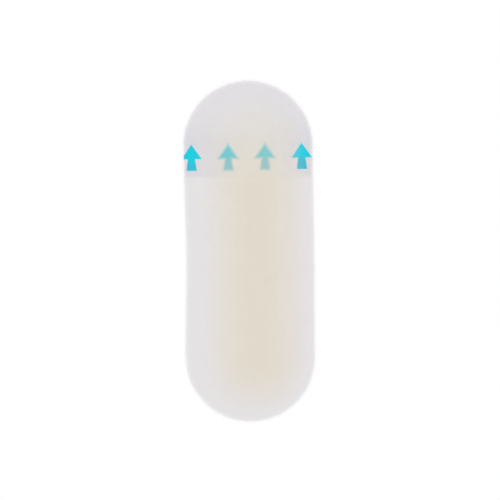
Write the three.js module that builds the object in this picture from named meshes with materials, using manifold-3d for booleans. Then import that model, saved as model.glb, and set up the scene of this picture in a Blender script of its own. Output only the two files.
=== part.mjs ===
// Hydrocolloid blister plaster for a toe or heel, new and unused, lying flat on its liners.
//
// A translucent cushion of gel lies under a thin clear film, and both stick to two release
// liners. The short liner lies against the gel and overlaps the long one, whose free end runs
// on under it. Four arrows are printed on the short liner, within the overlap, and show
// through the gel. All the pieces share one outline: a rectangle with round ends, whose long
// sides are slightly bowed and slightly drawn in at the waist, as the plaster lies.
//
// +Y runs along the plaster towards the end with the arrows, +X across it and +Z upwards.
// The origin is the middle of the footprint, on the table. Sizes are in millimetres.

import * as THREE from "three";
import { LoftGeometry } from "three/addons/geometries/LoftGeometry.js";
import { mergeVertices } from "three/addons/utils/BufferGeometryUtils.js";
import Module from "manifold-3d";

// The gel cushion seen from above.
const gelWidth = 19.95;
const gelLength = 52.8;
// How far each long side is drawn in at the waist, and how far the waist lies towards +X.
const waistDepth = 0.1;
const bowDepth = 0.16;

// The gel's thickness at its rim and on its flat crown, and the size and place of the crown.
const rimThickness = 0.25;
const crownThickness = 1.05;
const crownWidth = 7;
const crownLength = 40;
const crownOffset = 1;

const filmThickness = 0.05;

// Both liners stand out by the ledge beyond the gel.
const linerThickness = 0.1;
const linerLedge = 0.1;
const shortLinerLength = 14.85;
const linerOverlap = 5.8;

// The printed arrows. The foot gap is from the short liner's straight edge to the arrows.
const arrowCount = 4;
const arrowSpacing = 5.71;
const arrowRowOffset = -0.16;
const arrowRowTilt = 0.35;
const arrowFootGap = 0.95;
const shaftHeight = 1.85;
const shaftFootWidth = 1.55;
const shaftTopWidth = 1.15;
const headHeight = 2.1;
const headWidth = 2.9;
const inkThickness = 0.02;

// How finely the curves are divided.
const endSteps = 32;
const sideSteps = 12;
const slopeSteps = 9;

// Heights and places that follow from the sizes above.
const gelBottom = linerThickness;
const shortLinerTop = 2 * linerThickness;
const rimTop = gelBottom + rimThickness;
const crownTop = gelBottom + crownThickness;
const linerWidth = gelWidth + 2 * linerLedge;
const linerLength = gelLength + 2 * linerLedge;
const sideHalfLength = (gelLength - gelWidth) / 2;
const shortLinerEdge = linerLength / 2 - shortLinerLength;
const longLinerEnd = shortLinerEdge + linerOverlap;

const wasm = await Module();
wasm.setup();

// A closed three.js geometry as a solid that can be cut and joined.
function solid(geometry) {
  const bare = new THREE.BufferGeometry();
  bare.setAttribute("position", geometry.getAttribute("position"));
  bare.setIndex(geometry.index);
  const merged = mergeVertices(bare);
  return new wasm.Manifold(
    new wasm.Mesh({
      numProp: 3,
      vertProperties: merged.attributes.position.array,
      triVerts: new Uint32Array(merged.index.array),
    }),
  );
}

// A solid back as a geometry with flat facets.
function geometryOf(body) {
  const mesh = body.getMesh();
  const indexed = new THREE.BufferGeometry();
  indexed.setAttribute("position", new THREE.BufferAttribute(mesh.vertProperties, 3));
  indexed.setIndex(new THREE.BufferAttribute(mesh.triVerts, 1));
  const faceted = indexed.toNonIndexed();
  faceted.computeVertexNormals();
  return faceted;
}

// Moves a point of the straight, even outline to where the bowed and waisted plaster has it.
// The shift is full at the waist and eases to nothing where the round ends begin.
function lie(x, y, z) {
  const towardsEnd = Math.min(Math.abs(y) / sideHalfLength, 1);
  const nearWaist = (1 + Math.cos(Math.PI * towardsEnd)) / 2;
  const narrowing = 1 - (waistDepth / (gelWidth / 2)) * nearWaist;
  return new THREE.Vector3(x * narrowing + bowDepth * nearWaist, y, z);
}

// One level outline with round ends, counterclockwise from above.
function ring(width, length, offset, z) {
  const radius = width / 2;
  const straight = length / 2 - radius;
  const points = [];
  for (const end of [1, -1]) {
    for (let i = 0; i <= endSteps; i++) {
      const turn = (Math.PI * i) / endSteps;
      const x = end * radius * Math.cos(turn);
      const y = end * (straight + radius * Math.sin(turn));
      points.push(lie(x + offset, y, z));
    }
    for (let i = 1; i < sideSteps; i++) {
      const y = end * straight * (1 - (2 * i) / sideSteps);
      points.push(lie(offset - end * radius, y, z));
    }
  }
  return points;
}

function lofted(sections) {
  return solid(new LoftGeometry(sections, { capStart: true, capEnd: true }));
}

// A flat sheet of the liners' outline.
function linerSheet(bottom, top) {
  const under = ring(linerWidth, linerLength, 0, bottom);
  const over = ring(linerWidth, linerLength, 0, top);
  return lofted([under, over]);
}

// Everything between two straight cuts across the plaster.
function acrossCut(fromY, toY) {
  const wide = 2 * linerWidth;
  const box = new THREE.BoxGeometry(wide, toY - fromY, wide);
  box.translate(0, (fromY + toY) / 2, 0);
  return solid(box);
}

// The cushion's form: an upright rim, a slope that eases in and out, and a flat crown.
function cushion(cover) {
  const sections = [ring(gelWidth, gelLength, 0, gelBottom)];
  for (let i = 0; i <= slopeSteps; i++) {
    const inward = i / slopeSteps;
    const width = THREE.MathUtils.lerp(gelWidth, crownWidth, inward);
    const length = THREE.MathUtils.lerp(gelLength, crownLength, inward);
    const climb = THREE.MathUtils.smoothstep(inward, 0, 1);
    const height = THREE.MathUtils.lerp(rimTop, crownTop, climb);
    sections.push(ring(width, length, crownOffset * inward, height + cover));
  }
  return lofted(sections);
}

// One arrow's outline, pointing to +Y, with the middle of its foot at the origin.
function arrowShape() {
  const tip = shaftHeight + headHeight;
  return new THREE.Shape([
    new THREE.Vector2(-shaftFootWidth / 2, 0),
    new THREE.Vector2(shaftFootWidth / 2, 0),
    new THREE.Vector2(shaftTopWidth / 2, shaftHeight),
    new THREE.Vector2(headWidth / 2, shaftHeight),
    new THREE.Vector2(0, tip),
    new THREE.Vector2(-headWidth / 2, shaftHeight),
    new THREE.Vector2(-shaftTopWidth / 2, shaftHeight),
  ]);
}

// The place of one arrow's ink, standing through the short liner's upper face.
function arrowPrint(index) {
  const along = (index - (arrowCount - 1) / 2) * arrowSpacing;
  const print = new THREE.ExtrudeGeometry(arrowShape(), {
    depth: 2 * inkThickness,
    bevelEnabled: false,
  });
  print.translate(along, 0, 0);
  print.rotateZ(THREE.MathUtils.degToRad(arrowRowTilt));
  const foot = shortLinerEdge + arrowFootGap;
  print.translate(arrowRowOffset, foot, shortLinerTop - inkThickness);
  return solid(print);
}

const longLinerCut = acrossCut(-linerLength, longLinerEnd);
const longLiner = linerSheet(0, linerThickness).intersect(longLinerCut);
const shortLinerCut = acrossCut(shortLinerEdge, linerLength);
const shortLinerBlank = linerSheet(linerThickness, shortLinerTop).intersect(shortLinerCut);

// The ink lies flush in the liner's face, and an arrow that meets the liner's side ends there.
const arrows = [];
let shortLiner = shortLinerBlank;
for (let i = 0; i < arrowCount; i++) {
  const print = arrowPrint(i);
  arrows.push(shortLinerBlank.intersect(print));
  shortLiner = shortLiner.subtract(print);
}

// The gel's flat underside steps up over the short liner, and the film covers its upper face.
const gelForm = cushion(0);
const gel = gelForm.subtract(shortLinerBlank);
const film = cushion(filmThickness).subtract(gelForm);

const clearFilm = new THREE.MeshStandardMaterial({
  color: 0xf3f1f3,
  roughness: 0.45,
  metalness: 0,
  transparent: true,
  opacity: 0.3,
});
const translucentGel = new THREE.MeshStandardMaterial({
  color: 0xe2dacc,
  roughness: 0.6,
  metalness: 0,
  transparent: true,
  opacity: 0.85,
});
const whiteLiner = new THREE.MeshStandardMaterial({
  color: 0xf2f0f2,
  roughness: 0.5,
  metalness: 0,
});
const greyLiner = new THREE.MeshStandardMaterial({
  color: 0xdad8de,
  roughness: 0.5,
  metalness: 0,
});
const cyanInk = new THREE.MeshStandardMaterial({
  color: 0x2dd3e4,
  roughness: 0.6,
  metalness: 0,
});

const plaster = new THREE.Group();

function addPiece(name, body, material) {
  const mesh = new THREE.Mesh(geometryOf(body), material);
  mesh.name = name;
  plaster.add(mesh);
}

addPiece("long_liner", longLiner, whiteLiner);
addPiece("short_liner", shortLiner, greyLiner);
arrows.forEach((arrow, i) => addPiece(`printed_arrow_${i + 1}`, arrow, cyanInk));
addPiece("gel_cushion", gel, translucentGel);
addPiece("backing_film", film, clearFilm);

// The bow shifts the footprint to one side, so the plaster is slid back over the origin.
const footprint = new THREE.Box3().setFromObject(plaster);
plaster.position.x = -(footprint.min.x + footprint.max.x) / 2;

export default plaster;
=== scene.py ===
# Hydrocolloid blister plaster, unused, lying on its release liners with the clear film up.
#
# The gel cushion and the film over it are see-through. Under them lie the white long liner and
# the greyish short liner, which laps over it and carries a row of printed arrows. Everything is
# in metres, and every piece sits where the frame has it.

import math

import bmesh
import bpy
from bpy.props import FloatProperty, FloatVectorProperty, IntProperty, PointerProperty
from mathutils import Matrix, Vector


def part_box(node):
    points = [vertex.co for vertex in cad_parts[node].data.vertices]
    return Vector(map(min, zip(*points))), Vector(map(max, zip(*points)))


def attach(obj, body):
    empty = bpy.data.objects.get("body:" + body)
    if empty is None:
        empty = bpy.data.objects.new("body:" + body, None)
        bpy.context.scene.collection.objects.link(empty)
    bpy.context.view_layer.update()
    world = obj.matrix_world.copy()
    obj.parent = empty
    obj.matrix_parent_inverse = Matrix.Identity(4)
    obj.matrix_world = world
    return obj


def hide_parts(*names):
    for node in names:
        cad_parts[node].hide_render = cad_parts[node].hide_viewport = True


bl_info = {
    "name": "Blister Plaster",
    "version": (1, 0, 0),
    "blender": (4, 5, 0),
    "location": "View3D > Sidebar > Plaster",
    "description": "Models a gel blister plaster on its release liners, with a plain studio",
    "category": "Add Mesh",
}

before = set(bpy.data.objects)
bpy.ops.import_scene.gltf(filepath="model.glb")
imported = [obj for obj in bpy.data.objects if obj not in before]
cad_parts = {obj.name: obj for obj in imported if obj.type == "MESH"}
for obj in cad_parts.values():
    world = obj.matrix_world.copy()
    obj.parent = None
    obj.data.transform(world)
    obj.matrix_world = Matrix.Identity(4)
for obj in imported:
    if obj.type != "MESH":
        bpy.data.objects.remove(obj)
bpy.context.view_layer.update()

MM = 0.001
BODY = "root"

# Points of a mesh closer than this are one point.
WELD = 0.0005 * MM
# Faces that would lie in each other are kept apart by this much.
CLEARANCE = 0.004 * MM


def srgb(red, green, blue):
    """A colour as it looks on a screen, in steps up to 255, as a shader's linear values."""
    linear = []
    for step in (red, green, blue):
        share = step / 255
        linear.append(share / 12.92 if share <= 0.04045 else ((share + 0.055) / 1.055) ** 2.4)
    return tuple(linear)


def colour_property(name, description, *steps):
    """A colour that the panel shows, given in steps as on a screen."""
    return FloatVectorProperty(
        name=name,
        description=description,
        default=srgb(*steps),
        size=3,
        min=0,
        max=1,
        subtype="COLOR",
    )


def length_property(name, description, default):
    """A length in metres that the panel shows."""
    return FloatProperty(
        name=name,
        description=description,
        default=default,
        unit="LENGTH",
        precision=5,
    )


LONG_LINER_LOW, LONG_LINER_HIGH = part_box("long_liner")
SHORT_LINER_LOW, SHORT_LINER_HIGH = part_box("short_liner")
GEL_LOW, GEL_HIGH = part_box("gel_cushion")
FILM_LOW, FILM_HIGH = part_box("backing_film")


class PlasterSizes(bpy.types.PropertyGroup):
    """The plaster's outline, the heights of its layers, and how soft its edges are"""

    gel_width: length_property("Gel width", "Width of the gel cushion at its round ends", 19.95 * MM)
    gel_length: length_property("Gel length", "Length of the gel cushion", GEL_HIGH.y - GEL_LOW.y)
    waist: length_property("Waist", "How far each long side is drawn in", 0.1 * MM)
    bow: length_property("Bow", "How far the middle lies to one side of the ends", 0.16 * MM)
    ledge: length_property("Ledge", "How far the liners stand out beyond the gel", 0.1 * MM)
    slope_width: length_property("Slope", "From the gel's rim to its crown", 6.475 * MM)
    crown_shift: length_property("Crown shift", "How far the crown lies to one side", 1 * MM)
    rim_top: length_property("Rim height", "Height of the gel's upper edge", FILM_LOW.z)
    crown_top: length_property("Crown height", "Height of the gel's crown", GEL_HIGH.z)
    film_top: length_property("Film height", "Height of the film over the crown", FILM_HIGH.z)
    edge_round: length_property("Edge rounding", "Rounding of the gel's rim", 0.02 * MM)
    cut_round: length_property("Cut rounding", "Rounding of the liners' cut edges", 0.006 * MM)
    soft_step: length_property("Soft step", "How far the gel blurs the short liner's edge", 0.35 * MM)


class ArrowSizes(bpy.types.PropertyGroup):
    """The printed arrows, and how the gel blurs them"""

    shaft_height: length_property("Shaft height", "Height of an arrow's shaft", 1.85 * MM)
    foot_width: length_property("Foot width", "Width of the shaft at its foot", 1.64 * MM)
    neck_width: length_property("Neck width", "Width of the shaft where the head begins", 1.15 * MM)
    head_height: length_property("Head height", "Height of an arrow's head", 2.1 * MM)
    head_width: length_property("Head width", "Width of an arrow's head", 2.9 * MM)
    head_spread: length_property("Head spread", "Ink past the head's outline", 0.1 * MM)
    tilt: FloatProperty(
        name="Tilt",
        description="Turn of the printed row against the liner",
        default=math.radians(0.35),
        subtype="ANGLE",
    )
    ink_height: length_property("Ink height", "Thickness of the printed ink", 0.008 * MM)
    crisp_edge: length_property("Crisp edge", "Soft edge of the arrows near the rim", 0.12 * MM)
    blurred_edge: length_property("Blurred edge", "Soft edge of the arrows under thick gel", 0.5 * MM)
    slide: length_property("Slide", "Print left of its place", 0.065 * MM)


class PlasterColours(bpy.types.PropertyGroup):
    """Every colour, as it looks on a screen"""

    ledge: colour_property("Ledge", "Liners beyond the gel", 248, 247, 249)
    long_liner_rim: colour_property("Long liner, rim", "White liner near the rim", 232, 229, 231)
    long_liner_middle: colour_property(
        "Long liner, middle", "White liner under the thick gel", 229, 225, 219
    )
    short_liner_rim: colour_property("Short liner, rim", "Greyish liner near the rim", 221, 219, 224)
    short_liner_middle: colour_property(
        "Short liner, middle", "Greyish liner under the thick gel", 230, 227, 221
    )
    tip_rim: colour_property("Tip, rim", "Greyish liner near its round end", 228, 225, 229)
    tip_middle: colour_property("Tip, middle", "Greyish liner in the middle of its end", 225, 223, 222)
    ink_head: colour_property("Ink, head", "Outer arrows' heads", 0, 209, 228)
    ink_shaft: colour_property("Ink, shaft", "Outer arrows' shafts", 60, 190, 214)
    deep_head: colour_property("Deep ink, head", "Middle arrows' heads", 58, 203, 216)
    deep_shaft: colour_property("Deep ink, shaft", "Middle arrows' shafts", 119, 197, 207)
    gel: colour_property("Gel", "Body of the gel cushion", 217, 199, 158)
    gel_arrow_end: colour_property("Gel, arrow end", "Gel at the end with the arrows", 226, 217, 196)
    film: colour_property("Film", "Clear film, where it catches light", 238, 237, 240)
    floor: colour_property("Floor", "Plain pale floor", 232, 232, 232)


class StageSettings(bpy.types.PropertyGroup):
    """The camera's view and the light from the sky"""

    view_width: length_property("View width", "Floor that the camera sees", 77.7 * MM)
    lens: FloatProperty(name="Lens", description="Focal length in millimetres", default=100)
    turn: FloatProperty(
        name="Turn",
        description="Turn of the camera about its line of sight",
        default=math.radians(-0.655),
        subtype="ANGLE",
    )
    off_right: FloatProperty(
        name="Off right", description="Pixels from the frame's middle to the plaster's", default=-0.6
    )
    off_up: FloatProperty(
        name="Off up", description="Pixels from the frame's middle to the plaster's", default=-1.15
    )
    frame_pixels: IntProperty(name="Frame", description="Pixels across the picture", default=500)
    sky: FloatProperty(name="Sky light", description="Light from all around", default=0.4)


# How finely the curves are divided.
END_STEPS = 36
SIDE_CUTS = 31
SLOPE_RINGS = 24
CROWN_RINGS = 8

# How much of the gel's climb is left to its crown, and how far in the crown has rings.
CROWN_CLIMB = 0.03
CROWN_RINGED = 0.8

# How far the ink is laid on past an arrow's outline, as a share of its soft edge, and how far
# inside the liner's narrower half the first arrow is clipped.
INK_SPREAD = 0.45
SIDE_GAP = 0.01 * MM

# How fine the textures are, in features to the metre.
GRAIN_SCALE = 3000
STREAK_SCALE = 700
FILM_SCALE = 5000
FLOOR_SCALE = 900
PATCH_SCALE = 2600
BUBBLE_SCALE = 2400

# How strong the liners' grain and streaks are.
LINER_GRAIN = 0.11
LINER_STREAKS = 0.015

# The gel's depth as the looks see it: at which shares of the slope's width the crown's shift
# is complete and the gel is deepest, and how far its deepest part lies away from the arrows,
# as a share of the crown's shift.
SHIFT_RUN = 0.4
DEEP_REACH = 1.35
CROWN_SLIDE = 0.5

# Small marks on the liners: a speck of dust, and a patch of tiny bubbles with painted highlights.
DUST = (8.59 * MM, -11.19 * MM, LONG_LINER_HIGH.z)
DUST_RADIUS = 0.3 * MM
DUST_SHADE = -0.12
BUBBLE_PATCH = (-6.1 * MM, 19.3 * MM, SHORT_LINER_HIGH.z)
BUBBLE_PATCH_RADIUS = 2.6 * MM
BUBBLE_GLINT = 0.07

# The pale fringe inside the gel's rim: its width, how steeply it fades, and its strength.
FRINGE_WIDTH = 0.6 * MM
FRINGE_FALL = 1.6
FRINGE_SHARE = 0.5

# The long liner's end behind the short one, drawn as painted light and shade: half of the width
# and the brightness of its painted shade line, and half of the run over which the short liner is
# painted lighter, and how light.
END_SHADE_WIDTH = 0.16 * MM
END_SHADE_LINE = 0.988
END_BLUR = 0.1 * MM
PAST_END_LIGHT = 1.006

# Where tints change along the plaster: the short liner's rim, its middle, and the gel.
RIM_TINT_RUN = (16 * MM, 22 * MM)
MIDDLE_TINT_RUN = (12 * MM, 17.5 * MM)
GEL_TINT_RUN = (9 * MM, 22 * MM)


def select_alone(piece):
    """Selects one piece and makes it the active one."""
    bpy.ops.object.select_all(action="DESELECT")
    piece.select_set(True)
    bpy.context.view_layer.objects.active = piece


def edit(piece):
    """Opens one piece alone in edit mode."""
    if bpy.context.mode != "OBJECT":
        bpy.ops.object.mode_set(mode="OBJECT")
    select_alone(piece)
    bpy.ops.object.mode_set(mode="EDIT")


def pick(piece, kind, wanted):
    """Selects the faces, edges or points of the open piece that pass a test, and nothing else."""
    bpy.ops.mesh.select_mode(type=kind)
    bpy.ops.mesh.select_all(action="DESELECT")
    form = bmesh.from_edit_mesh(piece.data)
    parts = {"FACE": form.faces, "EDGE": form.edges, "VERT": form.verts}[kind]
    for part in parts:
        if wanted(part):
            part.select_set(True)
    form.select_flush_mode()
    bmesh.update_edit_mesh(piece.data)


def pick_all_faces():
    """Selects every face of the open piece."""
    bpy.ops.mesh.select_mode(type="FACE")
    bpy.ops.mesh.select_all(action="SELECT")


def round_ended_sheet(name, width, length, height):
    """A level face with round ends, whose long sides are divided so that they can bow."""
    bpy.ops.object.select_all(action="DESELECT")
    bpy.ops.mesh.primitive_plane_add(size=1, location=(0, 0, 0))
    sheet = bpy.context.active_object
    sheet.name = name
    sheet.data.name = name
    edit(sheet)
    bpy.ops.mesh.select_all(action="SELECT")
    bpy.ops.transform.resize(value=(width, length, 1), center_override=(0, 0, 0))
    bpy.ops.transform.translate(value=(0, 0, height))
    bpy.ops.mesh.bevel(offset=width / 2, segments=END_STEPS, affect="VERTICES", clamp_overlap=False)
    bpy.ops.mesh.select_all(action="SELECT")
    bpy.ops.mesh.remove_doubles(threshold=WELD)
    pick(sheet, "EDGE", lambda edge: edge.calc_length() > length / 4)
    bpy.ops.mesh.subdivide(number_cuts=SIDE_CUTS)
    return sheet


def thicken_upwards(piece, height):
    """Extrudes the open flat piece into a closed slab and leaves its upper face selected."""
    pick_all_faces()
    bpy.ops.mesh.extrude_region_move(TRANSFORM_OT_translate={"value": (0, 0, height)})
    bpy.ops.mesh.select_all(action="SELECT")
    bpy.ops.mesh.normals_make_consistent(inside=False)
    top = max(vertex.co.z for vertex in bmesh.from_edit_mesh(piece.data).verts)
    pick(piece, "FACE", lambda face: min(vertex.co.z for vertex in face.verts) > top - WELD)


def dome_height(inward, sizes):
    """How much of the climb from rim to crown is done this far in from the rim."""
    share = min(inward / sizes.slope_width, 1)
    slope = share * share * (3 - 2 * share)
    crown = math.sin(math.pi / 2 * min(inward / (sizes.gel_width / 2), 1))
    return (1 - CROWN_CLIMB) * slope + CROWN_CLIMB * crown


def raise_dome(sizes):
    """Insets the selected face ring by ring, and lifts and shifts what is left of it."""
    climb = sizes.crown_top - sizes.rim_top
    slope_step = sizes.slope_width / SLOPE_RINGS
    crown_step = (sizes.gel_width / 2 - sizes.slope_width) * CROWN_RINGED / CROWN_RINGS
    inward = 0
    for index in range(SLOPE_RINGS + CROWN_RINGS):
        on_slope = index < SLOPE_RINGS
        step = slope_step if on_slope else crown_step
        rise = dome_height(inward + step, sizes) - dome_height(inward, sizes)
        shift = sizes.crown_shift / SLOPE_RINGS if on_slope else 0
        bpy.ops.mesh.inset(thickness=step, use_even_offset=True, use_boundary=True)
        bpy.ops.transform.translate(value=(shift, 0, rise * climb))
        inward += step


def cut_across(y, keep_below):
    """Cuts the whole open piece straight across at y and closes the cut."""
    bpy.ops.mesh.select_all(action="SELECT")
    bpy.ops.mesh.bisect(
        plane_co=(0, y, 0),
        plane_no=(0, 1, 0),
        use_fill=True,
        clear_outer=keep_below,
        clear_inner=not keep_below,
        threshold=WELD,
    )


def bow_slide(sizes):
    """How far the bowed plaster is slid back over the origin."""
    half_width = sizes.gel_width / 2
    waist_of_liner = sizes.waist * (half_width + sizes.ledge) / half_width
    return (sizes.bow - waist_of_liner) / 2


def lay(piece, sizes):
    """Draws in the waist and bows the long sides, and slides the piece over the origin."""
    straight = (sizes.gel_length - sizes.gel_width) / 2
    half_width = sizes.gel_width / 2
    slide = bow_slide(sizes)
    for vertex in piece.data.vertices:
        near_waist = (1 + math.cos(math.pi * min(abs(vertex.co.y) / straight, 1))) / 2
        narrowing = 1 - sizes.waist / half_width * near_waist
        vertex.co.x = vertex.co.x * narrowing + sizes.bow * near_waist - slide


def apply_modifier(piece, kind, **settings):
    """Adds a modifier with these settings and applies it."""
    select_alone(piece)
    modifier = piece.modifiers.new(kind.title(), kind)
    for setting, value in settings.items():
        setattr(modifier, setting, value)
    bpy.ops.object.modifier_apply(modifier=modifier.name)


def round_edges(piece, width):
    """Rounds the sharp edges of a piece."""
    apply_modifier(
        piece,
        "BEVEL",
        width=width,
        segments=2,
        limit_method="ANGLE",
        angle_limit=math.radians(50),
        use_clamp_overlap=True,
    )


def finish_piece(piece, nodes, material):
    """Smooths a piece, gives it its material and hands it over to the frame."""
    select_alone(piece)
    bpy.ops.object.shade_smooth_by_angle(angle=math.radians(35))
    piece.data.materials.clear()
    piece.data.materials.append(material)
    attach(piece, BODY)
    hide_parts(*nodes)


def feed(tree, socket, source):
    """Links an input to another node's output, or writes a plain value into it."""
    if isinstance(source, bpy.types.NodeSocket):
        tree.links.new(source, socket)
    elif socket.type == "RGBA":
        socket.default_value = (*source, 1)
    else:
        socket.default_value = source


def calculate(tree, operation, *values, clamp=False):
    """One step of arithmetic in a node tree."""
    node = tree.nodes.new("ShaderNodeMath")
    node.operation = operation
    node.use_clamp = clamp
    for socket, value in zip(node.inputs, values):
        feed(tree, socket, value)
    return node.outputs[0]


def between(tree, value, start, end, low=0, high=1, smooth=True):
    """Maps a value from one range to another, and holds it at the ends."""
    node = tree.nodes.new("ShaderNodeMapRange")
    node.interpolation_type = "SMOOTHSTEP" if smooth else "LINEAR"
    for name, source in (
        ("Value", value),
        ("From Min", start),
        ("From Max", end),
        ("To Min", low),
        ("To Max", high),
    ):
        feed(tree, node.inputs[name], source)
    return node.outputs[0]


def axis(tree, position, letter):
    """One coordinate of a position."""
    node = tree.nodes.new("ShaderNodeSeparateXYZ")
    feed(tree, node.inputs[0], position)
    return node.outputs[letter]


def blend_colours(tree, share, first, second):
    """The first colour where the share is 0, and the second where it is 1."""
    node = tree.nodes.new("ShaderNodeMix")
    node.data_type = "RGBA"
    # The colour sockets share their names with others, so they are told by number.
    feed(tree, node.inputs[0], share)
    feed(tree, node.inputs[6], first)
    feed(tree, node.inputs[7], second)
    return node.outputs[2]


def shaded(tree, colour, factor):
    """A colour made lighter or darker by a factor."""
    node = tree.nodes.new("ShaderNodeVectorMath")
    node.operation = "SCALE"
    feed(tree, node.inputs[0], colour)
    feed(tree, node.inputs["Scale"], factor)
    return node.outputs[0]


def noise(tree, position, scale, detail=2.0, distortion=0.0):
    """Cloudy noise around one half."""
    node = tree.nodes.new("ShaderNodeTexNoise")
    feed(tree, node.inputs["Vector"], position)
    feed(tree, node.inputs["Scale"], scale)
    node.inputs["Detail"].default_value = detail
    node.inputs["Distortion"].default_value = distortion
    return node.outputs[0]


def new_group(name, inputs, outputs):
    """An empty node group with these named sockets, and its input and output nodes."""
    group = bpy.data.node_groups.new(name, "ShaderNodeTree")
    for label, kind, default in inputs:
        socket = group.interface.new_socket(label, in_out="INPUT", socket_type=kind)
        if default is not None:
            socket.default_value = default
    for label, kind in outputs:
        group.interface.new_socket(label, in_out="OUTPUT", socket_type=kind)
    start = group.nodes.new("NodeGroupInput")
    end = group.nodes.new("NodeGroupOutput")
    return group, start.outputs, end.inputs


def place_group(tree, group, **values):
    """Places a node group in a material, with values by the names of its inputs."""
    node = tree.nodes.new("ShaderNodeGroup")
    node.node_tree = group
    for name, value in values.items():
        feed(tree, node.inputs[name.replace("_", " ")], value)
    return node.outputs


def built_once(name, build):
    """A node group by its name, built when it is first asked for."""
    return bpy.data.node_groups.get(name) or build(name)


def build_gel_depth(name):
    """How far a point lies in from the gel's rim, and how deep the gel is over it, from 0 to 1."""
    group, given, result = new_group(
        name,
        (
            ("Position", "NodeSocketVector", None),
            ("Half Width", "NodeSocketFloat", 0.01),
            ("Half Straight", "NodeSocketFloat", 0.016),
            ("Bow", "NodeSocketFloat", 0.00016),
            ("Waist Share", "NodeSocketFloat", 0.01),
            ("Slide", "NodeSocketFloat", 0.0),
            ("Shift Run", "NodeSocketFloat", 0.0025),
            ("Crown Shift", "NodeSocketFloat", 0.001),
            ("Crown Slide", "NodeSocketFloat", 0.0005),
            ("Reach", "NodeSocketFloat", 0.009),
        ),
        (("Depth", "NodeSocketFloat"), ("Inward", "NodeSocketFloat")),
    )
    along = axis(group, given["Position"], "Y")
    end_share = calculate(group, "ABSOLUTE", along)
    end_share = calculate(group, "DIVIDE", end_share, given["Half Straight"], clamp=True)
    wave = calculate(group, "COSINE", calculate(group, "MULTIPLY", end_share, math.pi))
    near_waist = calculate(group, "MULTIPLY_ADD", wave, 0.5, 0.5)
    bow = calculate(group, "MULTIPLY", near_waist, given["Bow"])
    across = calculate(group, "ADD", axis(group, given["Position"], "X"), given["Slide"])
    across = calculate(group, "SUBTRACT", across, bow)
    waist = calculate(group, "MULTIPLY", near_waist, given["Waist Share"])
    across = calculate(group, "DIVIDE", across, calculate(group, "SUBTRACT", 1, waist))

    def inward_from_rim(x, y):
        past = calculate(group, "SUBTRACT", calculate(group, "ABSOLUTE", y), given["Half Straight"])
        past_end = calculate(group, "MAXIMUM", past, 0)
        past_squared = calculate(group, "MULTIPLY", past_end, past_end)
        squared = calculate(group, "MULTIPLY_ADD", x, x, past_squared)
        return calculate(group, "SUBTRACT", given["Half Width"], calculate(group, "SQRT", squared))

    from_rim = inward_from_rim(across, along)
    shift_share = calculate(group, "DIVIDE", from_rim, given["Shift Run"], clamp=True)
    shift = calculate(group, "MULTIPLY", shift_share, given["Crown Shift"])
    slide = calculate(group, "MULTIPLY", shift_share, given["Crown Slide"])
    inward = inward_from_rim(
        calculate(group, "SUBTRACT", across, shift),
        calculate(group, "ADD", along, slide),
    )
    feed(group, result["Depth"], calculate(group, "DIVIDE", inward, given["Reach"], clamp=True))
    feed(group, result["Inward"], from_rim)
    return group


def build_fine_grain(name):
    """A faint cloudy grain with lengthwise streaks, as a factor around 1 and as a height."""
    group, given, result = new_group(
        name,
        (
            ("Position", "NodeSocketVector", None),
            ("Grain Scale", "NodeSocketFloat", GRAIN_SCALE),
            ("Grain", "NodeSocketFloat", 0.02),
            ("Streaks", "NodeSocketFloat", 0.01),
        ),
        (("Factor", "NodeSocketFloat"), ("Height", "NodeSocketFloat")),
    )
    grain = noise(group, given["Position"], given["Grain Scale"], detail=3)
    stretch = group.nodes.new("ShaderNodeMapping")
    stretch.inputs["Scale"].default_value = (1, 0.06, 1)
    feed(group, stretch.inputs["Vector"], given["Position"])
    streaks = noise(group, stretch.outputs[0], STREAK_SCALE, detail=2)
    parts = []
    for texture, strength in ((grain, given["Grain"]), (streaks, given["Streaks"])):
        around_zero = calculate(group, "SUBTRACT", texture, 0.5)
        parts.append(calculate(group, "MULTIPLY", around_zero, strength))
    both = calculate(group, "ADD", *parts)
    feed(group, result["Factor"], calculate(group, "ADD", both, 1))
    feed(group, result["Height"], grain)
    return group


def build_ink_print(name):
    """The colour of printed ink, from shaft to head, with wavy patches of the one in the other."""
    group, given, result = new_group(
        name,
        (
            ("Position", "NodeSocketVector", None),
            ("Shaft Line", "NodeSocketFloat", 0.013),
            ("Head Line", "NodeSocketFloat", 0.015),
            ("Head", "NodeSocketColor", None),
            ("Shaft", "NodeSocketColor", None),
            ("Mottle", "NodeSocketFloat", 0.3),
        ),
        (("Colour", "NodeSocketColor"),),
    )
    along = axis(group, given["Position"], "Y")
    headward = between(group, along, given["Shaft Line"], given["Head Line"])
    stretch = group.nodes.new("ShaderNodeMapping")
    stretch.inputs["Scale"].default_value = (0.7, 1.3, 1)
    feed(group, stretch.inputs["Vector"], given["Position"])
    patches = noise(group, stretch.outputs[0], PATCH_SCALE, detail=2, distortion=1.2)
    waves = between(group, patches, 0.4, 0.6, -1, 1)
    share = calculate(group, "MULTIPLY_ADD", waves, given["Mottle"], headward, clamp=True)
    colour = blend_colours(group, share, given["Shaft"], given["Head"])
    unevenness = calculate(group, "MULTIPLY", given["Mottle"], 0.25)
    factor = calculate(group, "MULTIPLY_ADD", waves, unevenness, 1)
    feed(group, result["Colour"], shaded(group, colour, factor))
    return group


def new_material(name, roughness, specular):
    """A material with a Principled shader, its node tree, and its Object coordinates."""
    material = bpy.data.materials.new(name)
    material.use_nodes = True
    tree = material.node_tree
    shader = tree.nodes["Principled BSDF"]
    shader.inputs["Roughness"].default_value = roughness
    shader.inputs["Specular IOR Level"].default_value = specular
    position = tree.nodes.new("ShaderNodeTexCoord").outputs["Object"]
    return material, tree, shader, position


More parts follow.
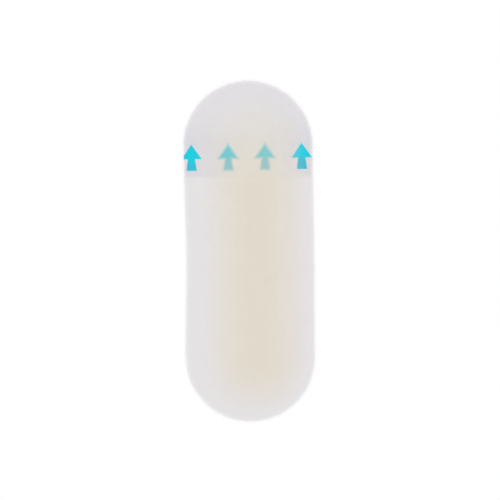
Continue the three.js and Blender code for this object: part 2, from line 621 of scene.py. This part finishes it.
def gel_depth(tree, position, sizes):
    """Places the group that measures the gel over a point."""
    return place_group(
        tree,
        built_once("Gel Depth", build_gel_depth),
        Position=position,
        Half_Width=sizes.gel_width / 2,
        Half_Straight=(sizes.gel_length - sizes.gel_width) / 2,
        Bow=sizes.bow,
        Waist_Share=sizes.waist / (sizes.gel_width / 2),
        Slide=bow_slide(sizes),
        Shift_Run=SHIFT_RUN * sizes.slope_width,
        Crown_Shift=sizes.crown_shift,
        Crown_Slide=CROWN_SLIDE * sizes.crown_shift,
        Reach=DEEP_REACH * sizes.slope_width,
    )


def fine_grain(tree, position, grain, streaks, scale=GRAIN_SCALE):
    """Places the group for grain and streaks."""
    return place_group(
        tree,
        built_once("Fine Grain", build_fine_grain),
        Position=position,
        Grain_Scale=scale,
        Grain=grain,
        Streaks=streaks,
    )


def paint(tree, shader, colour, grain):
    """Gives a material its colour with the grain in it."""
    feed(tree, shader.inputs["Base Color"], shaded(tree, colour, grain["Factor"]))


def bump(tree, shader, height, strength, distance):
    """Roughens a surface by a height."""
    node = tree.nodes.new("ShaderNodeBump")
    node.inputs["Strength"].default_value = strength
    node.inputs["Distance"].default_value = distance
    feed(tree, node.inputs["Height"], height)
    feed(tree, shader.inputs["Normal"], node.outputs[0])


def front_only(tree, alpha):
    """Keeps an opacity on outer faces and clears inner ones, so each layer counts once."""
    geometry = tree.nodes.new("ShaderNodeNewGeometry")
    front = calculate(tree, "SUBTRACT", 1, geometry.outputs["Backfacing"])
    return calculate(tree, "MULTIPLY", alpha, front)


def seen_along(tree, alpha, *gains):
    """Raises an opacity where a clear body is seen at a slant, as more of it lies behind."""
    facing = tree.nodes.new("ShaderNodeLayerWeight")
    facing.inputs["Blend"].default_value = 0.5
    for start, end, gain in gains:
        slant = between(tree, facing.outputs["Facing"], start, end, 0, gain)
        alpha = calculate(tree, "ADD", alpha, slant, clamp=True)
    return alpha


def wetted(tree, depth, rim, middle):
    """A liner's colour, which loses its own tint where the thick gel wets it."""
    share = between(tree, depth["Depth"], 0.08, 1, smooth=False)
    return blend_colours(tree, share, rim, middle)


def soft_step(tree, position, depth, colour, other, run):
    """Blends a liner's colour towards the other liner's near their edge, as the gel blurs it."""
    along = axis(tree, position, "Y")
    near_edge = between(tree, along, SHORT_LINER_LOW.y + run, SHORT_LINER_LOW.y, smooth=False)
    blur = between(tree, depth["Depth"], 0.1, 0.4, low=0.15, high=0.5)
    return blend_colours(tree, calculate(tree, "MULTIPLY", near_edge, blur), colour, other)


def pale_rim(tree, depth, colour, ledge):
    """Lightens a liner near the gel's rim, where light comes in from the side, and beyond it."""
    near_rim = between(tree, depth["Inward"], FRINGE_WIDTH, 0, smooth=False)
    faded = calculate(tree, "POWER", near_rim, FRINGE_FALL)
    fringe = calculate(tree, "MULTIPLY", faded, FRINGE_SHARE)
    beyond = calculate(tree, "LESS_THAN", depth["Inward"], 0)
    return blend_colours(tree, calculate(tree, "MAXIMUM", fringe, beyond), colour, ledge)


def show_end_behind(tree, position, colour, end):
    """Lightens a liner past the end of one behind it as painted light, with a thin painted shade line
    at that end.
    """
    past_end = calculate(tree, "SUBTRACT", axis(tree, position, "Y"), end)
    lighter = between(tree, past_end, -END_BLUR, END_BLUR, low=1, high=PAST_END_LIGHT)
    off_line = calculate(tree, "ABSOLUTE", past_end)
    line = between(tree, off_line, 0, END_SHADE_WIDTH, low=END_SHADE_LINE, high=1)
    return shaded(tree, colour, calculate(tree, "MULTIPLY", lighter, line))


def spot(tree, position, place, radius):
    """A small soft round mask at a place on a liner."""
    node = tree.nodes.new("ShaderNodeVectorMath")
    node.operation = "DISTANCE"
    feed(tree, node.inputs[0], position)
    node.inputs[1].default_value = place
    return between(tree, node.outputs["Value"], radius, 0)


def tiny_bubbles(tree, position, colour):
    """Fine bright specks in a patch near the round end: tiny bubbles, as painted highlights."""
    cells = tree.nodes.new("ShaderNodeTexVoronoi")
    feed(tree, cells.inputs["Vector"], position)
    cells.inputs["Scale"].default_value = BUBBLE_SCALE
    speck = between(tree, cells.outputs["Distance"], 0.3, 0.1)
    patch = spot(tree, position, BUBBLE_PATCH, BUBBLE_PATCH_RADIUS)
    brightness = calculate(tree, "MULTIPLY", speck, patch)
    factor = calculate(tree, "MULTIPLY_ADD", brightness, BUBBLE_GLINT, 1)
    return shaded(tree, colour, factor)


def long_liner_colour(tree, position, sizes, colours):
    """White liner, blurred into the short one at its edge, with a speck of dust."""
    depth = gel_depth(tree, position, sizes)
    colour = wetted(tree, depth, tuple(colours.long_liner_rim), tuple(colours.long_liner_middle))
    other = tuple(colours.short_liner_rim)
    colour = soft_step(tree, position, depth, colour, other, -sizes.soft_step)
    speck = spot(tree, position, DUST, DUST_RADIUS)
    dust = calculate(tree, "MULTIPLY_ADD", speck, DUST_SHADE, 1)
    return pale_rim(tree, depth, shaded(tree, colour, dust), tuple(colours.ledge))


def short_liner_colour(tree, position, sizes, colours):
    """Greyish liner, with other tints towards its round end and the long liner behind it."""
    depth = gel_depth(tree, position, sizes)
    along = axis(tree, position, "Y")
    rim_end = between(tree, along, *RIM_TINT_RUN)
    rim = blend_colours(tree, rim_end, tuple(colours.short_liner_rim), tuple(colours.tip_rim))
    middle_end = between(tree, along, *MIDDLE_TINT_RUN)
    short_middle = tuple(colours.short_liner_middle)
    middle = blend_colours(tree, middle_end, short_middle, tuple(colours.tip_middle))
    colour = wetted(tree, depth, rim, middle)
    # Painted light past the long liner's end, and a thin painted shade line at that end.
    colour = show_end_behind(tree, position, colour, LONG_LINER_HIGH.y)
    other = tuple(colours.long_liner_rim)
    colour = soft_step(tree, position, depth, colour, other, sizes.soft_step)
    # Tiny bubbles, painted as bright specks of highlight.
    colour = tiny_bubbles(tree, position, colour)
    return pale_rim(tree, depth, colour, tuple(colours.ledge))


def liner_finish(name, sizes, colours, colour_of):
    """Release film with a silky face, and with the colour that a function gives."""
    material, tree, shader, position = new_material(name, roughness=0.5, specular=0.15)
    grain = fine_grain(tree, position, LINER_GRAIN, LINER_STREAKS)
    colour = colour_of(tree, position, sizes, colours)
    paint(tree, shader, colour, grain)
    bump(tree, shader, grain["Height"], strength=0.15, distance=0.01 * MM)
    return material


def ink_finish(name, sizes, colours, shaft, head, rise, mottle):
    """Cyan ink, which fades into the liner's colour by the piece's own cover attribute."""
    material, tree, shader, position = new_material(name, roughness=0.6, specular=0.03)
    ink = place_group(
        tree,
        built_once("Ink Print", build_ink_print),
        Position=position,
        Shaft_Line=rise[0],
        Head_Line=rise[1],
        Head=head,
        Shaft=shaft,
        Mottle=mottle,
    )
    grain = fine_grain(tree, position, LINER_GRAIN, LINER_STREAKS)
    liner = shaded(tree, short_liner_colour(tree, position, sizes, colours), grain["Factor"])
    cover = tree.nodes.new("ShaderNodeAttribute")
    cover.attribute_name = "cover"
    share = between(tree, cover.outputs["Fac"], 0, 1, smooth=False)
    feed(tree, shader.inputs["Base Color"], blend_colours(tree, share, liner, ink["Colour"]))
    return material


# How much the gel veils what lies under it, by its depth.
GEL_VEIL = (
    (0.0, 0.006),
    (0.14, 0.014),
    (0.21, 0.03),
    (0.42, 0.11),
    (0.61, 0.19),
    (0.8, 0.26),
    (1.0, 0.29),
)
# How much the film veils, and how much more the gel and the film do at a slant: each row says
# from and to where on the way from face-on to edge-on, and by how much.
FILM_VEIL = 0.006
GEL_SLANT = ((0.85, 1, 0.6),)
FILM_SLANT = ((0.2, 0.65, 0.17), (0.85, 1, 0.35))


def gel_finish(name, sizes, colours):
    """Soft translucent gel: clear at the rim, and a pale beige veil where it is thick."""
    material, tree, shader, position = new_material(name, roughness=0.5, specular=0.2)
    depth = gel_depth(tree, position, sizes)
    grain = fine_grain(tree, position, grain=0.08, streaks=0.03)
    near_arrows = between(tree, axis(tree, position, "Y"), *GEL_TINT_RUN)
    colour = blend_colours(tree, near_arrows, tuple(colours.gel), tuple(colours.gel_arrow_end))
    paint(tree, shader, colour, grain)
    veil = tree.nodes.new("ShaderNodeValToRGB")
    stops = veil.color_ramp.elements
    for index, (place, opacity) in enumerate(GEL_VEIL):
        stop = stops[index] if index < 2 else stops.new(place)
        stop.position = place
        stop.color = (opacity, opacity, opacity, 1)
    feed(tree, veil.inputs["Fac"], depth["Depth"])
    alpha = seen_along(tree, veil.outputs["Color"], *GEL_SLANT)
    feed(tree, shader.inputs["Alpha"], front_only(tree, alpha))
    return material


def film_finish(name, colours):
    """Thin clear film with a fine matt texture, which shows mostly at a slant."""
    material, tree, shader, position = new_material(name, roughness=0.35, specular=0.5)
    grain = fine_grain(tree, position, grain=0.04, streaks=0.02, scale=FILM_SCALE)
    paint(tree, shader, tuple(colours.film), grain)
    bump(tree, shader, grain["Height"], strength=0.3, distance=0.01 * MM)
    alpha = seen_along(tree, FILM_VEIL, *FILM_SLANT)
    feed(tree, shader.inputs["Alpha"], front_only(tree, alpha))
    return material


def let_light_through(piece):
    """Light passes the clear layers, so they neither shade nor dim what lies under them."""
    piece.visible_shadow = False
    piece.visible_diffuse = False


class PLASTER_OT_stage(bpy.types.Operator):
    """Add the floor, the light and the camera over the plaster"""

    bl_idname = "plaster.stage"
    bl_label = "Stage"

    def execute(self, context):
        settings = context.scene.plaster_stage
        make_floor(context.scene.plaster_sizes, context.scene.plaster_colours)
        make_sky(context.scene, settings)
        make_lamps()
        make_camera(context.scene, settings)
        context.scene.view_settings.view_transform = "Standard"
        return {"FINISHED"}


def seen_directly(tree):
    """1 for what the camera sees, also mirrored or through glass, and 0 for plain light."""
    path = tree.nodes.new("ShaderNodeLightPath").outputs
    direct = calculate(tree, "MAXIMUM", path["Is Camera Ray"], path["Is Glossy Ray"])
    return calculate(tree, "MAXIMUM", direct, path["Is Transmission Ray"])


# The floor's size, and how far it lies under the plaster.
FLOOR_SIZE = 6
FLOOR_DROP = 0.01 * MM

# The floor's glow in the open and as a painted contact shadow right beside the plaster, how far
# out that painted shadow reaches, and the share of glow in what the camera sees.
OPEN_GLOW = 1.165
PAINTED_SHADOW_GLOW = 1.05
PAINTED_SHADOW_REACH = 0.5 * MM
GLOW_SHARE = 0.6


def make_floor(sizes, colours):
    """A wide floor that looks white, keeps a part of the shadow falling on it, and has a painted
    contact shadow.
    """
    bpy.ops.object.select_all(action="DESELECT")
    bpy.ops.mesh.primitive_grid_add(x_subdivisions=8, y_subdivisions=8, size=FLOOR_SIZE)
    floor = bpy.context.active_object
    floor.name = "floor"
    bpy.ops.object.mode_set(mode="EDIT")
    bpy.ops.mesh.select_all(action="SELECT")
    bpy.ops.transform.translate(value=(0, 0, -FLOOR_DROP))
    bpy.ops.object.mode_set(mode="OBJECT")
    material, tree, shader, position = new_material("pale_floor", roughness=0.9, specular=0)
    speckle = fine_grain(tree, position, grain=0.01, streaks=0, scale=FLOOR_SCALE)
    paint(tree, shader, tuple(colours.floor), speckle)
    glow = tree.nodes.new("ShaderNodeEmission")
    # Painted contact shadow: the glow is dimmed just outside the plaster's outline.
    inward = gel_depth(tree, position, sizes)["Inward"]
    reach = -sizes.ledge - PAINTED_SHADOW_REACH
    strength = between(tree, inward, reach, -sizes.ledge, OPEN_GLOW, PAINTED_SHADOW_GLOW, smooth=False)
    feed(tree, glow.inputs["Strength"], strength)
    mix = tree.nodes.new("ShaderNodeMixShader")
    feed(tree, mix.inputs[0], calculate(tree, "MULTIPLY", seen_directly(tree), GLOW_SHARE))
    tree.links.new(shader.outputs[0], mix.inputs[1])
    tree.links.new(glow.outputs[0], mix.inputs[2])
    tree.links.new(mix.outputs[0], tree.nodes["Material Output"].inputs["Surface"])
    floor.data.materials.append(material)


def make_sky(scene, settings):
    """White all around to the eye, and an even soft light on matt surfaces."""
    world = bpy.data.worlds.new("studio_sky")
    world.use_nodes = True
    tree = world.node_tree
    background = tree.nodes["Background"]
    background.inputs["Color"].default_value = (1, 1, 1, 1)
    strength = between(tree, seen_directly(tree), 0, 1, settings.sky, 1, smooth=False)
    feed(tree, background.inputs["Strength"], strength)
    scene.world = world


# Soft lamps: strength, tilt from straight above, and the side that they lean to.
LAMPS = (
    ("overhead", 1.52, 0, 0),
    ("far_end", 0.25, 58, 0),
    ("near_end", 0.25, 58, 180),
)
LAMP_ANGLE = math.radians(40)


def make_lamps():
    """Lights the plaster softly from above and from both ends."""
    for name, strength, tilt, side in LAMPS:
        bpy.ops.object.light_add(type="SUN", location=(0, 0, 1))
        lamp = bpy.context.active_object
        lamp.name = name
        lamp.data.energy = strength
        lamp.data.angle = LAMP_ANGLE
        lamp.rotation_euler = (math.radians(-tilt), 0, math.radians(side))


def make_camera(scene, settings):
    """Looks straight down, turned and moved so that the plaster lies as in the picture."""
    data = bpy.data.cameras.new("camera")
    camera = bpy.data.objects.new("camera", data)
    scene.collection.objects.link(camera)
    data.lens = settings.lens
    data.clip_start = 10 * MM
    data.clip_end = 20
    pixel = settings.view_width / settings.frame_pixels
    right = -settings.off_right * pixel
    up = -settings.off_up * pixel
    cosine, sine = math.cos(settings.turn), math.sin(settings.turn)
    distance = settings.view_width * settings.lens / data.sensor_width
    camera.location = (
        right * cosine - up * sine,
        right * sine + up * cosine,
        distance,
    )
    camera.rotation_euler = (0, 0, settings.turn)
    scene.camera = camera


class PLASTER_OT_liners(bpy.types.Operator):
    """Model the two release liners that the plaster lies on"""

    bl_idname = "plaster.liners"
    bl_label = "Release liners"

    def execute(self, context):
        sizes = context.scene.plaster_sizes
        colours = context.scene.plaster_colours
        ink_height = context.scene.plaster_arrows.ink_height
        long_liner = liner(
            "long_liner_film",
            sizes,
            LONG_LINER_LOW.z,
            LONG_LINER_HIGH.z,
            LONG_LINER_HIGH.y,
            keep_below=True,
        )
        short_liner = liner(
            "short_liner_film",
            sizes,
            SHORT_LINER_LOW.z + CLEARANCE,
            SHORT_LINER_HIGH.z - ink_height - CLEARANCE,
            SHORT_LINER_LOW.y,
            keep_below=False,
        )
        white = liner_finish("long_liner_silky", sizes, colours, long_liner_colour)
        greyish = liner_finish("short_liner_silky", sizes, colours, short_liner_colour)
        finish_piece(long_liner, ["long_liner"], white)
        finish_piece(short_liner, ["short_liner"], greyish)
        let_light_through(short_liner)
        return {"FINISHED"}


def liner(name, sizes, bottom, top, cut, keep_below):
    """A flat sheet of the plaster's outline, cut straight across."""
    width = sizes.gel_width + 2 * sizes.ledge
    length = sizes.gel_length + 2 * sizes.ledge
    sheet = round_ended_sheet(name, width, length, bottom)
    thicken_upwards(sheet, top - bottom)
    cut_across(cut, keep_below)
    bpy.ops.object.mode_set(mode="OBJECT")
    lay(sheet, sizes)
    round_edges(sheet, sizes.cut_round)
    return sheet


# Where each arrow's ink turns from the shaft's colour to the head's, and how mottled it is.
INK_RISE = (
    (0.7 * MM, 1.7 * MM),
    (1.3 * MM, 2.4 * MM),
    (1.3 * MM, 2.4 * MM),
    (1.6 * MM, 2.1 * MM),
)
INK_MOTTLE = (0.12, 0.04, 0.04, 0.06)


class PLASTER_OT_arrows(bpy.types.Operator):
    """Model the printed arrows on the short liner"""

    bl_idname = "plaster.arrows"
    bl_label = "Printed arrows"

    def execute(self, context):
        sizes = context.scene.plaster_arrows
        colours = context.scene.plaster_colours
        names = sorted(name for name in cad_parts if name.startswith("printed_arrow"))
        for index, node in enumerate(names):
            near_rim = index in (0, len(names) - 1)
            soft = sizes.crisp_edge if near_rim else sizes.blurred_edge
            shaft, head = colours.deep_shaft, colours.deep_head
            if near_rim:
                shaft, head = colours.ink_shaft, colours.ink_head
            arrow, foot = printed_arrow(node, f"arrow_ink_{index + 1}", sizes, soft)
            rise = [foot + height for height in INK_RISE[index]]
            ink = ink_finish(
                f"cyan_ink_{index + 1}",
                context.scene.plaster_sizes,
                colours,
                tuple(shaft),
                tuple(head),
                rise,
                INK_MOTTLE[index],
            )
            finish_piece(arrow, [node], ink)
            let_light_through(arrow)
        return {"FINISHED"}


def flat_arrow(name, sizes, grow):
    """A flat arrow along Y with its foot's middle at the origin, grown all round, open to edit."""
    tip_angle = math.atan(sizes.head_width / 2 / sizes.head_height)
    head_foot = sizes.shaft_height - grow - sizes.head_spread / 2
    tip = sizes.shaft_height + sizes.head_height + (grow + sizes.head_spread) / math.sin(tip_angle)
    wing = (tip - head_foot) * math.tan(tip_angle)
    neck = sizes.neck_width / 2 + grow
    foot = sizes.foot_width / 2 + grow

    def at_head_foot(edge):
        return max(vertex.co.y for vertex in edge.verts) < head_foot + WELD

    def at_neck(edge):
        return at_head_foot(edge) and max(abs(vertex.co.x) for vertex in edge.verts) < neck + WELD

    bpy.ops.object.select_all(action="DESELECT")
    bpy.ops.mesh.primitive_circle_add(vertices=3, radius=1, fill_type="NGON")
    arrow = bpy.context.active_object
    arrow.name = name
    arrow.data.name = name
    edit(arrow)
    form = bmesh.from_edit_mesh(arrow.data)
    heights = [vertex.co.y for vertex in form.verts]
    widths = [vertex.co.x for vertex in form.verts]
    bottom = min(heights)
    across = wing * 2 / (max(widths) - min(widths))
    upwards = (tip - head_foot) / (max(heights) - bottom)
    bpy.ops.mesh.select_all(action="SELECT")
    bpy.ops.transform.resize(value=(across, upwards, 1), center_override=(0, 0, 0))
    bpy.ops.transform.translate(value=(0, head_foot - bottom * upwards, 0))
    # Two cuts put points at a third of the wings, and those move to the neck's width.
    pick(arrow, "EDGE", at_head_foot)
    bpy.ops.mesh.subdivide(number_cuts=2)
    pick(arrow, "VERT", lambda v: v.co.y < head_foot + WELD and abs(v.co.x) < wing / 2)
    bpy.ops.transform.resize(value=(neck / (wing / 3), 1, 1), center_override=(0, 0, 0))
    pick(arrow, "EDGE", at_neck)
    bpy.ops.mesh.extrude_edges_move(TRANSFORM_OT_translate={"value": (0, -head_foot - grow, 0)})
    bpy.ops.transform.resize(value=(foot / neck, 1, 1), center_override=(0, 0, 0))
    pick_all_faces()
    bpy.ops.mesh.normals_make_consistent(inside=False)
    return arrow


def mark_cover(mesh):
    """Notes how well the ink covers each point: not at all on the outer edge, and fully inside."""
    cover = mesh.attributes.new("cover", "FLOAT", "POINT")
    edge_points = boundary_points(mesh)
    for vertex in mesh.vertices:
        cover.data[vertex.index].value = 0 if vertex.index in edge_points else 1


def printed_arrow(node, name, sizes, soft):
    """One arrow's ink with its soft edge, laid in place and clipped by the liner's side."""
    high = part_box(node)[1]
    arrow = flat_arrow(name, sizes, soft * INK_SPREAD)
    bpy.ops.mesh.inset(thickness=soft, use_even_offset=True, use_boundary=True)
    bpy.ops.object.mode_set(mode="OBJECT")
    mark_cover(arrow.data)

    edit(arrow)
    bpy.ops.mesh.select_all(action="SELECT")
    bpy.ops.transform.rotate(value=-sizes.tilt, orient_axis="Z", center_override=(0, 0, 0))
    cosine, sine = math.cos(sizes.tilt), math.sin(sizes.tilt)
    wing_reach = sizes.head_width / 2 * cosine - sizes.shaft_height * sine
    tip_reach = (sizes.shaft_height + sizes.head_height) * cosine
    foot_x = high.x - wing_reach - sizes.slide
    foot_y = high.y - tip_reach
    bpy.ops.transform.translate(value=(foot_x, foot_y, high.z - sizes.ink_height))
    thicken_upwards(arrow, sizes.ink_height)
    bpy.ops.mesh.select_all(action="SELECT")
    bpy.ops.mesh.bisect(
        plane_co=(-SHORT_LINER_HIGH.x + SIDE_GAP, 0, 0),
        plane_no=(1, 0, 0),
        use_fill=True,
        clear_inner=True,
        threshold=WELD,
    )
    bpy.ops.object.mode_set(mode="OBJECT")
    return arrow, foot_y


def boundary_points(mesh):
    """The points on the outer edge of a flat mesh."""
    faces_at = {}
    for polygon in mesh.polygons:
        for key in polygon.edge_keys:
            faces_at[key] = faces_at.get(key, 0) + 1
    return {point for key, count in faces_at.items() if count == 1 for point in key}


class PLASTER_OT_gel(bpy.types.Operator):
    """Model the gel cushion"""

    bl_idname = "plaster.gel"
    bl_label = "Gel cushion"

    def execute(self, context):
        sizes = context.scene.plaster_sizes
        bottom = GEL_LOW.z + CLEARANCE
        gel = round_ended_sheet("gel_body", sizes.gel_width, sizes.gel_length, bottom)
        thicken_upwards(gel, sizes.rim_top - bottom)
        raise_dome(sizes)
        step_over_liner(gel, bottom)
        bpy.ops.object.mode_set(mode="OBJECT")
        lay(gel, sizes)
        round_edges(gel, sizes.edge_round)
        gel_look = gel_finish("translucent_gel", sizes, context.scene.plaster_colours)
        finish_piece(gel, ["gel_cushion"], gel_look)
        let_light_through(gel)
        return {"FINISHED"}


def step_over_liner(gel, bottom):
    """Lifts the gel's underside over the short liner, in a steep step just before its edge."""
    run = 0.01 * MM
    edge = SHORT_LINER_LOW.y - 2 * run
    for y in (edge, edge + run):
        pick(gel, "FACE", lambda face: min(v.co.z for v in face.verts) < bottom + WELD)
        bpy.ops.mesh.bisect(plane_co=(0, y, 0), plane_no=(0, 1, 0), threshold=WELD)
    beyond = edge + run - WELD
    pick(gel, "VERT", lambda v: v.co.z < bottom + WELD and v.co.y > beyond)
    bpy.ops.transform.translate(value=(0, 0, SHORT_LINER_HIGH.z - GEL_LOW.z))


class PLASTER_OT_film(bpy.types.Operator):
    """Model the clear film over the gel"""

    bl_idname = "plaster.film"
    bl_label = "Backing film"

    def execute(self, context):
        sizes = context.scene.plaster_sizes
        underside = sizes.rim_top + CLEARANCE
        film = round_ended_sheet("clear_film", sizes.gel_width, sizes.gel_length, underside)
        pick_all_faces()
        raise_dome(sizes)
        bpy.ops.object.mode_set(mode="OBJECT")
        thickness = sizes.film_top - sizes.crown_top - CLEARANCE
        apply_modifier(film, "SOLIDIFY", thickness=thickness, offset=1)
        lay(film, sizes)
        round_edges(film, thickness / 3)
        film_look = film_finish("clear_matt_film", context.scene.plaster_colours)
        finish_piece(film, ["backing_film"], film_look)
        let_light_through(film)
        return {"FINISHED"}


class PLASTER_PT_panel(bpy.types.Panel):
    """Lists the plaster's pieces, sizes and colours"""

    bl_idname = "PLASTER_PT_panel"
    bl_label = "Blister plaster"
    bl_space_type = "VIEW_3D"
    bl_region_type = "UI"
    bl_category = "Plaster"

    def draw(self, context):
        for step in BUILD_ORDER:
            self.layout.operator(step.bl_idname)
        for group in (
            context.scene.plaster_sizes,
            context.scene.plaster_arrows,
            context.scene.plaster_colours,
            context.scene.plaster_stage,
        ):
            box = self.layout.box()
            for name in group.__annotations__:
                box.prop(group, name)


BUILD_ORDER = (
    PLASTER_OT_stage,
    PLASTER_OT_liners,
    PLASTER_OT_arrows,
    PLASTER_OT_gel,
    PLASTER_OT_film,
)
SETTINGS = {
    "plaster_sizes": PlasterSizes,
    "plaster_arrows": ArrowSizes,
    "plaster_colours": PlasterColours,
    "plaster_stage": StageSettings,
}


def register():
    """Adds the settings, the operators and the panel."""
    for name, group in SETTINGS.items():
        bpy.utils.register_class(group)
        setattr(bpy.types.Scene, name, PointerProperty(type=group))
    for step in BUILD_ORDER:
        bpy.utils.register_class(step)
    bpy.utils.register_class(PLASTER_PT_panel)


def unregister():
    """Takes the panel, the operators and the settings away again."""
    bpy.utils.unregister_class(PLASTER_PT_panel)
    for step in reversed(BUILD_ORDER):
        bpy.utils.unregister_class(step)
    for name, group in reversed(list(SETTINGS.items())):
        delattr(bpy.types.Scene, name)
        bpy.utils.unregister_class(group)


def main():
    """Builds the stage and the plaster."""
    register()
    bpy.ops.plaster.stage()
    bpy.ops.plaster.liners()
    bpy.ops.plaster.arrows()
    bpy.ops.plaster.gel()
    bpy.ops.plaster.film()


if __name__ == "__main__":
    main()
